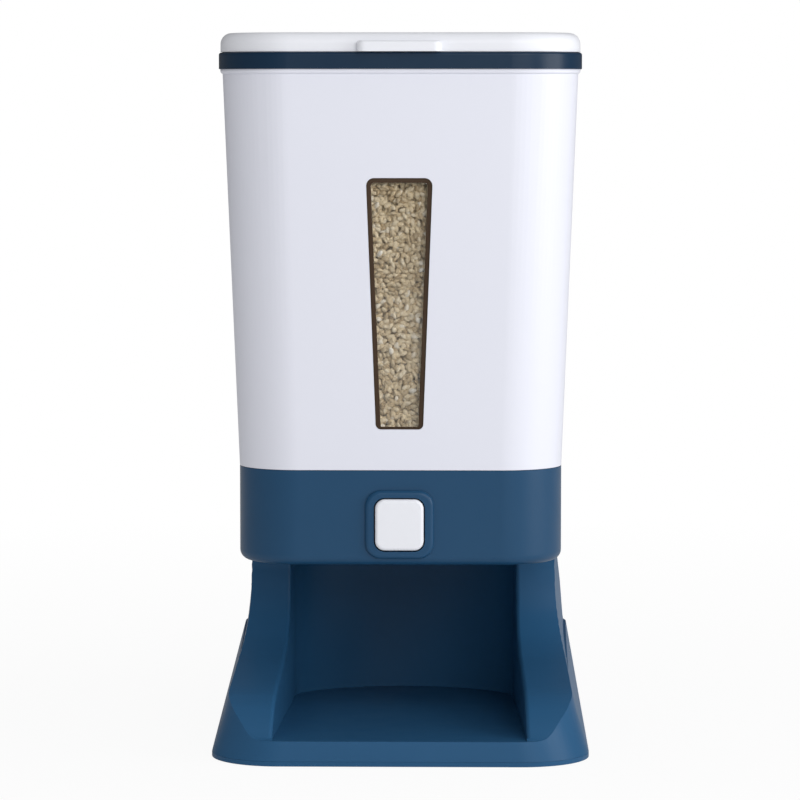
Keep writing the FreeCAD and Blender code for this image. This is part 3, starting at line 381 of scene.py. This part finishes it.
def stand_form(name, inset, low, high):
    """The stand as a full form, drawn in by the given wall."""
    grow = (ledge_top - low) / (ledge_top - skirt_bottom)
    foot_plan = [b + (a - b) * grow for a, b in zip(base_plan, ledge_plan)]
    form = drawn_up(name, [(low, rounded_outline(foot_plan, inset)),
                           (ledge_top, rounded_outline(ledge_plan, inset))])
    carve(form, over_the_skirt(inset))
    arms = arm_block(inset, high)
    carve(arms, over_the_arms(inset))
    carve(form, arms, "UNION")
    carve(form, cup_bay(inset))
    return form


stand = stand_form("stand_moulding", 0.0, skirt_bottom, stand_top)
stand_hollow = stand_form("stand hollow", stand_wall, skirt_bottom - 0.008, stand_top - stand_wall)
carve(stand, stand_hollow, folded=True)
pick(stand, "EDGE", lambda middle, along: middle.y < 0.01 and lip_top + 0.0012 < middle.z < stand_top - 0.0002
     and abs(abs(middle.x) - bay_half_width + bay_draw_in * middle.y) < 0.0002)
bpy.ops.mesh.bevel(offset=0.0024, segments=6, affect="EDGES")
bpy.ops.object.mode_set(mode="OBJECT")
soften(stand, 0.0008)
dress(stand, navy_plastic)
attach(stand, "dispenser")
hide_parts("stand")

# ------------------------------------------------------------------ base plate
# A flat navy plate closes the stand from below. It is injection moulded and located by a rib
# inside the skirt, and its outer edge shows as a thin band under the skirt.
foot_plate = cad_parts["base_plate"].copy()
foot_plate.data = foot_plate.data.copy()
foot_plate.name = "foot_plate"
bpy.context.scene.collection.objects.link(foot_plate)
soften(foot_plate, 0.0005)
dress(foot_plate, navy_plastic)
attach(foot_plate, "dispenser")
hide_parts("base_plate")

# ------------------------------------------------------------------ dispensing housing
# The navy band between stand and bin: a moulded tray with a rounded lower edge and a raised
# square surround in front, whose sleeve guides the button. Four screws hold it on the column.
band_plan = (0.178, 0.244, 0.034)
band_bottom = 0.1098
band_top = 0.162
housing_floor = 0.1124
shell_wall = 0.0026
surround_size = 0.0376
surround_front = -0.1246
sleeve_back = -0.104
button_level = 0.1325


def front_block(name, width, height, radius, near, far):
    """A rounded square block that points to the front, centred on the button's axis."""
    bpy.ops.mesh.primitive_cube_add(size=1, location=(0, (near + far) / 2, button_level))
    block = bpy.context.object
    block.name = name
    block.scale = (width, far - near, height)
    alone(block)
    bpy.ops.object.transform_apply(location=True, rotation=False, scale=True)
    pick(block, "EDGE", lambda middle, along: abs(along.y) > 0.9)
    bpy.ops.mesh.bevel(offset=radius, segments=8, affect="EDGES")
    bpy.ops.object.mode_set(mode="OBJECT")
    return block


def plain_box(name, low, high):
    """A straight box between two corners, as a cutter or a rib to join on."""
    bpy.ops.mesh.primitive_cube_add(size=1, location=[(a + b) / 2 for a, b in zip(low, high)])
    box = bpy.context.object
    box.name = name
    box.scale = [b - a for a, b in zip(low, high)]
    alone(box)
    bpy.ops.object.transform_apply(location=True, rotation=False, scale=True)
    return box


band = rounded_block("housing_band", band_plan, band_bottom, band_top)
pick(band, "EDGE", lambda middle, along: middle.z < band_bottom + 0.0001)
bpy.ops.mesh.bevel(offset=0.0055, segments=8, affect="EDGES")
bpy.ops.object.mode_set(mode="OBJECT")
surround = front_block("surround", surround_size, surround_size, 0.0086, surround_front, -0.121)
pick(surround, "EDGE", lambda middle, along: middle.y < surround_front + 0.0001)
bpy.ops.mesh.bevel(offset=0.0023, segments=6, affect="EDGES")
bpy.ops.object.mode_set(mode="OBJECT")
carve(band, surround, "UNION")
carve(band, rounded_block("band hollow", band_plan, housing_floor, 0.170, shell_wall))
carve(band, front_block("sleeve", 0.0309, 0.0325, 0.0074, -0.1215, sleeve_back), "UNION")
carve(band, front_block("button hole", 0.0279, 0.0295, 0.0059, -0.132, -0.103))
carve(band, plain_box("spout hole", (-0.041, -0.0524, 0.1088), (0.041, -0.0136, 0.1134)))
for side in (-1, 1):
    post_x = side * 0.059
    post = plain_box("spring post", (post_x - 0.004, -0.017, 0.1119), (post_x + 0.004, -0.0135, 0.149))
    carve(band, post, "UNION")
    for x, y in ((0.077, 0.036), (0.060, 0.100)):
        bpy.ops.mesh.primitive_cylinder_add(vertices=24, radius=0.0045, depth=0.0091,
                                            location=(side * x, y, 0.11645))
        carve(band, bpy.context.object, "UNION")
soften(band, 0.00045, steps=2)
# Painted shade: the band's navy is a darker copy of the stand's navy plastic. It stands in for the dimmer
# light that falls on the band.
band_navy_painted_shade = moulded_material("band navy painted shade", (0.011, 0.062, 0.140), (0.015, 0.072, 0.160), 0.34, 0.0001,
                             specular=0.30)
dress(band, band_navy_painted_shade)
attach(band, "dispenser")
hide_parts("dispensing_housing")
dress(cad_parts["housing_screws"], zinc_steel)

# ------------------------------------------------------------------ push button
# A white moulded cup with a softly pillowed face and a stop flange behind it. It slides in the
# sleeve and is screwed to the drive yoke.
bright_white = moulded_material("bright white plastic", (0.86, 0.875, 0.93), (0.88, 0.89, 0.94), 0.34,
                                0.00005, specular=0.4, grain_scale=2200.0)
button_front = -0.1263
flange_front = -0.1037

button = front_block("button_cap", 0.0265, 0.0281, 0.0052, button_front, flange_front)
pick(button, "EDGE", lambda middle, along: middle.y < button_front + 0.0001)
bpy.ops.mesh.bevel(offset=0.0019, segments=6, affect="EDGES")
bpy.ops.object.mode_set(mode="OBJECT")
carve(button, front_block("flange", 0.0315, 0.0331, 0.0052, flange_front, -0.1016), "UNION")
carve(button, front_block("cup hollow", 0.0221, 0.0237, 0.003, -0.1238, -0.1006))
for x in (-0.0075, 0.0075):
    bpy.ops.mesh.primitive_cylinder_add(vertices=24, radius=0.003, depth=0.0227,
                                        location=(x, -0.11295, button_level), rotation=(math.pi / 2, 0, 0))
    alone(bpy.context.object)
    bpy.ops.object.transform_apply(location=True, rotation=True, scale=True)
    carve(button, bpy.context.object, "UNION")
soften(button, 0.0002, steps=2, angle=38)
dress(button, bright_white)
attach(button, "button_body")
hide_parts("push_button")

# ------------------------------------------------------------------ drive, drum and spout
# The working parts inside the housing: a yoke with two toothed bars, pinions on a steel axle,
# a drum with one measure pocket, its casing and the spout, all in natural grey plastic.
grey_plastic = moulded_material("natural grey plastic", (0.56, 0.57, 0.57), (0.50, 0.51, 0.52), 0.5, 0.0001)

for part in ("drive_yoke", "left_pinion", "right_pinion", "metering_chamber", "metering_drum",
             "axle_bushes", "outlet_chute"):
    dress(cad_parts[part], grey_plastic)
for part in ("yoke_screws", "left_return_spring", "right_return_spring", "chamber_screws", "drum_axle",
             "axle_clips"):
    dress(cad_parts[part], zinc_steel)

# ------------------------------------------------------------------ bin
# The white bin widens evenly upwards and ends in a rolled lip. A spigot below drops into the
# band, and a tapered sight window is cut through its leaning front wall.
body_bottom = 0.1622
body_top = 0.3777
mouth_top = 0.3804
body_top_plan = (0.195, 0.260, 0.037)
mouth_plan = (0.1974, 0.263, 0.038)
wall_lean = math.atan((body_top_plan[1] - band_plan[1]) / 2 / (body_top - band_top))
window_bottom = 0.1846
window_top = 0.3216
window_half_bottom = 0.0129
window_half_top = 0.0181


def window_block(name, inset, near, far, sill=0.0):
    """The tapered window outline as a block through the leaning front wall; sill is added below."""
    low = window_bottom + inset - sill
    high = window_top - inset
    half_low = window_half_bottom - inset
    half_high = window_half_top - inset
    front = -band_plan[1] / 2
    block = plain_box(name, (-half_low, front + near, low), (half_low, front + far, high))
    pick(block, "VERT", lambda spot, normal: spot.z > high - 0.0001)
    bpy.ops.transform.resize(value=(half_high / half_low, 1, 1), center_override=(0, 0, high))
    for at, radius in ((low, 0.0027), (high, 0.0044)):
        pick(block, "EDGE", lambda middle, along: abs(along.y) > 0.9 and abs(middle.z - at) < 0.0001)
        bpy.ops.mesh.bevel(offset=max(radius - inset, 0.0006), segments=8, affect="EDGES")
    bpy.ops.object.mode_set(mode="OBJECT")
    turn = Matrix.Rotation(wall_lean, 4, "X")
    pivot = Matrix.Translation((0, front, band_top))
    block.data.transform(pivot @ turn @ pivot.inverted())
    return block


def body_plan(level):
    """The bin's outer plan at a height."""
    share = (level - band_top) / (body_top - band_top)
    return [a + (b - a) * share for a, b in zip(band_plan, body_top_plan)]


def body_block(name, low, high, inset=0.0):
    """The bin's tapered form between two heights, drawn in by the given wall."""
    return drawn_up(name, [(level, rounded_outline(body_plan(level), inset, 20)) for level in (low, high)])


shoulder = body_bottom + 0.003
bin_shell = body_block("bin_shell", body_bottom, body_top + 0.0012)
mouth_lip = rounded_block("mouth lip", mouth_plan, body_top, mouth_top)
pick(mouth_lip, "EDGE", lambda middle, along: middle.z < body_top + 0.0001)
bpy.ops.mesh.bevel(offset=0.0016, segments=5, affect="EDGES")
bpy.ops.object.mode_set(mode="OBJECT")
carve(bin_shell, mouth_lip, "UNION")
spigot = rounded_block("spigot", band_plan, body_bottom - 0.008, shoulder, 0.0028)
carve(bin_shell, spigot, "UNION")
carve(bin_shell, body_block("bin hollow", shoulder, mouth_top + 0.001, shell_wall))
carve(bin_shell, rounded_block("passage", band_plan, body_bottom - 0.009, shoulder + 0.0005, 0.005))
carve(bin_shell, window_block("window opening", 0.0, -0.01, 0.01))
soften(bin_shell, 0.0004, steps=2)
white_plastic = moulded_material("white plastic", (0.80, 0.815, 0.905), (0.825, 0.835, 0.915), 0.36,
                                 0.00005, specular=0.4, grain_scale=2200.0)
dress(bin_shell, white_plastic)
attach(bin_shell, "dispenser")
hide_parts("bin_body")

# ------------------------------------------------------------------ window
# A dark brown soft ring, thinner along the sill, is pressed into the opening, and a clear smoked
# pane sits inside it, held by a flange behind the wall.
brown_rubber = moulded_material("dark brown seal", (0.043, 0.023, 0.012), (0.100, 0.066, 0.040), 0.6, 0.0002,
                                grain_scale=1800.0, specular=0.2)

seal_width = 0.0026
sill_slimmer = 0.0013
seal = window_block("seal_ring", 0.0001, 0.0007, 0.0026)
carve(seal, window_block("seal opening", seal_width, 0.0, 0.004, sill_slimmer))
soften(seal, 0.0004, steps=3)
dress(seal, brown_rubber)
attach(seal, "dispenser")
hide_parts("window_seal")


def smoked_clear_material():
    """Clear moulded acrylic with a faint warm smoke; light from the lamps passes through it."""
    material = bpy.data.materials.new("smoked clear plastic")
    material.use_nodes = True
    tree = material.node_tree
    shader = tree.nodes["Principled BSDF"]
    shader.inputs["Base Color"].default_value = (0.86, 0.83, 0.78, 1)
    shader.inputs["Transmission Weight"].default_value = 1.0
    shader.inputs["IOR"].default_value = 1.46
    place = node(tree, "ShaderNodeTexCoord")
    smears = node(tree, "ShaderNodeTexNoise")
    smears.inputs["Scale"].default_value = 60.0
    smears.inputs["Detail"].default_value = 4.0
    spread = node(tree, "ShaderNodeMapRange")
    spread.inputs["To Min"].default_value = 0.02
    spread.inputs["To Max"].default_value = 0.10
    tree.links.new(place.outputs["Object"], smears.inputs["Vector"])
    tree.links.new(smears.outputs[0], spread.inputs["Value"])
    tree.links.new(spread.outputs["Result"], shader.inputs["Roughness"])
    lamp_rays = node(tree, "ShaderNodeLightPath")
    through = node(tree, "ShaderNodeBsdfTransparent")
    through.inputs["Color"].default_value = (0.86, 0.83, 0.78, 1)
    mix = node(tree, "ShaderNodeMixShader")
    out = tree.nodes["Material Output"]
    tree.links.new(lamp_rays.outputs["Is Shadow Ray"], mix.inputs[0])
    tree.links.new(shader.outputs[0], mix.inputs[1])
    tree.links.new(through.outputs[0], mix.inputs[2])
    tree.links.new(mix.outputs[0], out.inputs["Surface"])
    return material


pane = window_block("clear_pane", seal_width + 0.00005, 0.0012, 0.0036, sill_slimmer)
carve(pane, window_block("pane flange", -0.004, 0.0027, 0.0047), "UNION")
soften(pane, 0.0003, steps=2)
dress(pane, smoked_clear_material())
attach(pane, "dispenser")
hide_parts("window_panel")

# ------------------------------------------------------------------ hopper and rice
# A sloped floor leads the rice to the drum's throat. The bin is filled with polished short-grain
# rice: plump grains five millimetres long, mostly glassy beige, a few of them chalky white.
dress(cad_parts["hopper"], grey_plastic)


def rice_material():
    """Polished rice: each grain has its own tone, with a faint mottle and a waxy gloss."""
    material = bpy.data.materials.new("polished rice")
    material.use_nodes = True
    tree = material.node_tree
    shader = tree.nodes["Principled BSDF"]
    tone = node(tree, "ShaderNodeAttribute", attribute_name="grain_tone")
    ramp = node(tree, "ShaderNodeValToRGB")
    stops = ramp.color_ramp.elements
    stops[0].color = (0.53, 0.43, 0.29, 1)
    stops[1].position = 0.5
    stops[1].color = (0.82, 0.73, 0.56, 1)
    pale = stops.new(0.88)
    pale.color = (0.92, 0.85, 0.70, 1)
    chalk = stops.new(0.97)
    chalk.color = (0.97, 0.96, 0.92, 1)
    place = node(tree, "ShaderNodeTexCoord")
    mottle = node(tree, "ShaderNodeTexNoise")
    mottle.inputs["Scale"].default_value = 700.0
    shade = node(tree, "ShaderNodeMapRange")
    shade.inputs["To Min"].default_value = 0.82
    shade.inputs["To Max"].default_value = 1.12
    tint = node(tree, "ShaderNodeMix", data_type="RGBA", blend_type="MULTIPLY")
    tint.inputs["Factor"].default_value = 1.0
    gloss = node(tree, "ShaderNodeMapRange")
    gloss.inputs["To Min"].default_value = 0.28
    gloss.inputs["To Max"].default_value = 0.52
    bump = node(tree, "ShaderNodeBump")
    bump.inputs["Strength"].default_value = 0.3
    bump.inputs["Distance"].default_value = 0.0002
    tree.links.new(tone.outputs["Fac"], ramp.inputs[0])
    tree.links.new(place.outputs["Object"], mottle.inputs["Vector"])
    tree.links.new(mottle.outputs[0], shade.inputs["Value"])
    tree.links.new(ramp.outputs["Color"], tint.inputs["A"])
    tree.links.new(shade.outputs["Result"], tint.inputs["B"])
    tree.links.new(tint.outputs["Result"], shader.inputs["Base Color"])
    tree.links.new(mottle.outputs[0], gloss.inputs["Value"])
    tree.links.new(gloss.outputs["Result"], shader.inputs["Roughness"])
    tree.links.new(mottle.outputs[0], bump.inputs["Height"])
    tree.links.new(bump.outputs["Normal"], shader.inputs["Normal"])
    return material


polished_rice = rice_material()
rice_hand = random.Random(7)
grain_half = (0.00156, 0.00122, 0.00222)
germ_end = 0.0008
lowest_row = 0.183
highest_row = 0.324
top_of_rice = 0.3343


def model_grain(segments, rings):
    """One grain: a ball drawn out, flattened and blunted at the germ end."""
    bpy.ops.mesh.primitive_uv_sphere_add(segments=segments, ring_count=rings, radius=1.0)
    grain = bpy.context.object
    grain.name = "grain"
    alone(grain)
    bpy.ops.object.mode_set(mode="EDIT")
    bpy.ops.transform.resize(value=grain_half, center_override=(0, 0, 0))
    pick(grain, "VERT", lambda spot, normal: spot.z > germ_end)
    bpy.ops.transform.resize(value=(0.88, 0.86, 0.96), center_override=(0.0002, 0, germ_end))
    bpy.ops.object.mode_set(mode="OBJECT")
    return grain


def pour(name, grain, places):
    """Copies the grain to every place, each turned and toned by chance, as one piece."""
    heap = bmesh.new()
    tones = heap.faces.layers.float.new("grain_tone")
    for spot, flat_to in places:
        turn = Matrix.Rotation(rice_hand.uniform(0, math.tau), 4, flat_to)
        tip = Matrix.Rotation(math.pi / 2 + rice_hand.gauss(0, 0.35), 4, Vector(flat_to).orthogonal())
        roll = Matrix.Rotation(rice_hand.uniform(0, math.tau), 4, "Z")
        size = Matrix.Scale(rice_hand.uniform(0.86, 1.08), 4)
        before = len(heap.faces)
        copy = grain.data.copy()
        up = Vector(flat_to).to_track_quat("Z", "Y").to_matrix().to_4x4()
        copy.transform(Matrix.Translation(spot) @ turn @ tip @ up @ roll @ size)
        heap.from_mesh(copy)
        bpy.data.meshes.remove(copy)
        tone = rice_hand.random()
        heap.faces.ensure_lookup_table()
        for index in range(before, len(heap.faces)):
            heap.faces[index][tones] = tone
            heap.faces[index].smooth = True
    mesh = bpy.data.meshes.new(name)
    heap.to_mesh(mesh)
    heap.free()
    piece = bpy.data.objects.new(name, mesh)
    bpy.context.scene.collection.objects.link(piece)
    dress(piece, polished_rice)
    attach(piece, "dispenser")


def window_places():
    """Grains packed against the pane, in three layers that follow the leaning wall."""
    places = []
    for depth, step in ((0.0061, 0.0030), (0.0073, 0.0029), (0.0087, 0.0030)):
        level = lowest_row
        while level < highest_row:
            half = 0.0165 + (level - lowest_row) * 0.036
            x = -half + rice_hand.uniform(0, step)
            while x < half:
                z = level + rice_hand.gauss(0, 0.0007)
                wall_y = -band_plan[1] / 2 - (z - band_top) * math.tan(wall_lean)
                y = wall_y + depth + rice_hand.gauss(0, 0.0004)
                places.append(((x + rice_hand.gauss(0, 0.0006), y, z), (0, 1, 0)))
                x += step * rice_hand.uniform(0.85, 1.25)
            level += step * 0.92
    return places


def top_places():
    """Grains that lie loose on the level top, as far as the bin's rounded inner wall."""
    places = []
    y = -0.1232
    while y < 0.1232:
        x = -0.0906 + rice_hand.uniform(0, 0.0034)
        while x < 0.0906:
            if math.hypot(max(abs(x) - 0.0617, 0), max(abs(y) - 0.0943, 0)) < 0.029:
                z = top_of_rice + rice_hand.gauss(0, 0.0004)
                places.append(((x, y + rice_hand.gauss(0, 0.0005), z), (0, 0, 1)))
            x += rice_hand.uniform(0.0029, 0.0040)
        y += 0.0031
    return places


rice_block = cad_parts["rice_fill"].copy()
rice_block.data = rice_block.data.copy()
rice_block.name = "rice_heap"
bpy.context.scene.collection.objects.link(rice_block)
alone(rice_block)
bpy.ops.mesh.customdata_custom_splitnormals_clear()
bpy.ops.object.mode_set(mode="EDIT")
bpy.ops.mesh.select_all(action="SELECT")
bpy.ops.mesh.remove_doubles(threshold=0.00001)
bpy.ops.transform.resize(value=(0.962, 0.962, 1), center_override=(0, 0, 0.2))
bpy.ops.mesh.normals_make_consistent(inside=False)
bpy.ops.object.mode_set(mode="OBJECT")
bpy.ops.object.shade_smooth_by_angle(angle=math.radians(30))
dress(rice_block, polished_rice)
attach(rice_block, "dispenser")
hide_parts("rice_fill")

fine_grain = model_grain(8, 6)
pour("rice_at_window", fine_grain, window_places())
bpy.data.objects.remove(fine_grain)
plain_grain = model_grain(6, 4)
pour("rice_on_top", plain_grain, top_places())
bpy.data.objects.remove(plain_grain)

# ------------------------------------------------------------------ collar and hinge pins
# A navy ring snaps on the bin's mouth. Its edge is softly rounded, and two pairs of ears at the
# back carry the lid on steel pins.
# Painted shade: the ring's navy is a much darker copy of the stand's navy plastic. It stands in for the shade
# under the lid's overhang.
ring_navy_painted_shade = moulded_material("ring navy painted shade", (0.003, 0.023, 0.056), (0.005, 0.028, 0.066), 0.33, 0.00005,
                             specular=0.35)
dress(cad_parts["collar"], ring_navy_painted_shade)
dress(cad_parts["hinge_pins"], zinc_steel)

# ------------------------------------------------------------------ lid
# A shallow white tray that flips up: full round edges, a thumb tab in front, hinge knuckles at
# the back, and an inner rim that carries a translucent silicone ring.
dress(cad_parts["lid"], bright_white)
clear_silicone = moulded_material("silicone", (0.62, 0.63, 0.64), (0.7, 0.7, 0.7), 0.55, 0.0001)
dress(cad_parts["lid_seal"], clear_silicone)

# ------------------------------------------------------------------ floor, lamps and camera
# A pale seamless floor under an even white room, with a large soft lamp from the right and a
# smaller one from the front; the camera stands in front, a little above the object's middle.
bpy.ops.mesh.primitive_plane_add(size=12, location=(0, 3.0, 0))
floor = bpy.context.object
alone(floor)
bpy.ops.object.transform_apply(location=True, rotation=True, scale=True)
floor.name = "studio_floor"
floor_white = bpy.data.materials.new("studio white")
floor_white.use_nodes = True
tree = floor_white.node_tree
paper = tree.nodes["Principled BSDF"]
paper.inputs["Base Color"].default_value = (0.9, 0.9, 0.9, 1)
paper.inputs["Roughness"].default_value = 0.9
glow = node(tree, "ShaderNodeEmission")
glow.inputs["Color"].default_value = (1, 1, 1, 1)
seen = node(tree, "ShaderNodeLightPath")
part_seen = node(tree, "ShaderNodeMath", operation="MULTIPLY")
place = node(tree, "ShaderNodeTexCoord")
near = node(tree, "ShaderNodeVectorMath", operation="LENGTH")
fade = node(tree, "ShaderNodeMapRange")
fade.inputs["From Min"].default_value = 0.25
fade.inputs["From Max"].default_value = 1.1
fade.inputs["To Min"].default_value = 0.93
fade.inputs["To Max"].default_value = 1.0
tree.links.new(place.outputs["Object"], near.inputs[0])
tree.links.new(near.outputs["Value"], fade.inputs["Value"])
tree.links.new(fade.outputs["Result"], part_seen.inputs[1])
mix = node(tree, "ShaderNodeMixShader")
tree.links.new(seen.outputs["Is Camera Ray"], part_seen.inputs[0])
tree.links.new(part_seen.outputs[0], mix.inputs[0])
tree.links.new(paper.outputs[0], mix.inputs[1])
tree.links.new(glow.outputs[0], mix.inputs[2])
tree.links.new(mix.outputs[0], tree.nodes["Material Output"].inputs["Surface"])
dress(floor, floor_white)

world = bpy.data.worlds.new("studio")
bpy.context.scene.world = world
world.use_nodes = True
tree = world.node_tree
backdrop = tree.nodes["Background"]
backdrop.inputs["Color"].default_value = (1, 1, 1, 1)
rays = node(tree, "ShaderNodeLightPath")
either = node(tree, "ShaderNodeMath", operation="MAXIMUM")
room = node(tree, "ShaderNodeMix", data_type="FLOAT")
room.inputs["B"].default_value = 0.10
level = node(tree, "ShaderNodeMapRange")
level.inputs["To Min"].default_value = 0.48
level.inputs["To Max"].default_value = 1.0
tree.links.new(rays.outputs["Is Camera Ray"], either.inputs[0])
tree.links.new(rays.outputs["Is Transmission Ray"], either.inputs[1])
tree.links.new(either.outputs[0], level.inputs["Value"])
tree.links.new(level.outputs["Result"], room.inputs["A"])
tree.links.new(rays.outputs["Is Glossy Ray"], room.inputs["Factor"])
tree.links.new(room.outputs["Result"], backdrop.inputs["Strength"])


def soft_lamp(name, place, size, power):
    """A square area lamp that faces the middle of the object."""
    data = bpy.data.lights.new(name, "AREA")
    data.size = size
    data.energy = power
    lamp = bpy.data.objects.new(name, data)
    lamp.location = place
    lamp.rotation_euler = (Vector((0, 0, 0.2)) - Vector(place)).to_track_quat("-Z", "Y").to_euler()
    bpy.context.scene.collection.objects.link(lamp)


soft_lamp("side", (1.95, -0.75, 0.8), 1.4, 19)
soft_lamp("front", (0.65, -1.95, 1.05), 1.2, 13.5)

lens_data = bpy.data.cameras.new("camera")
lens_data.lens = 173.1
lens_data.sensor_width = 36
camera = bpy.data.objects.new("camera", lens_data)
camera.location = (0.0383, -2.2097, 0.3691)
camera_aim = Vector((0.0005, -0.132, 0.2015))
camera.rotation_euler = (camera_aim - camera.location).to_track_quat("-Z", "Y").to_euler()
bpy.context.scene.collection.objects.link(camera)
bpy.context.scene.camera = camera
bpy.context.scene.view_settings.view_transform = "Standard"
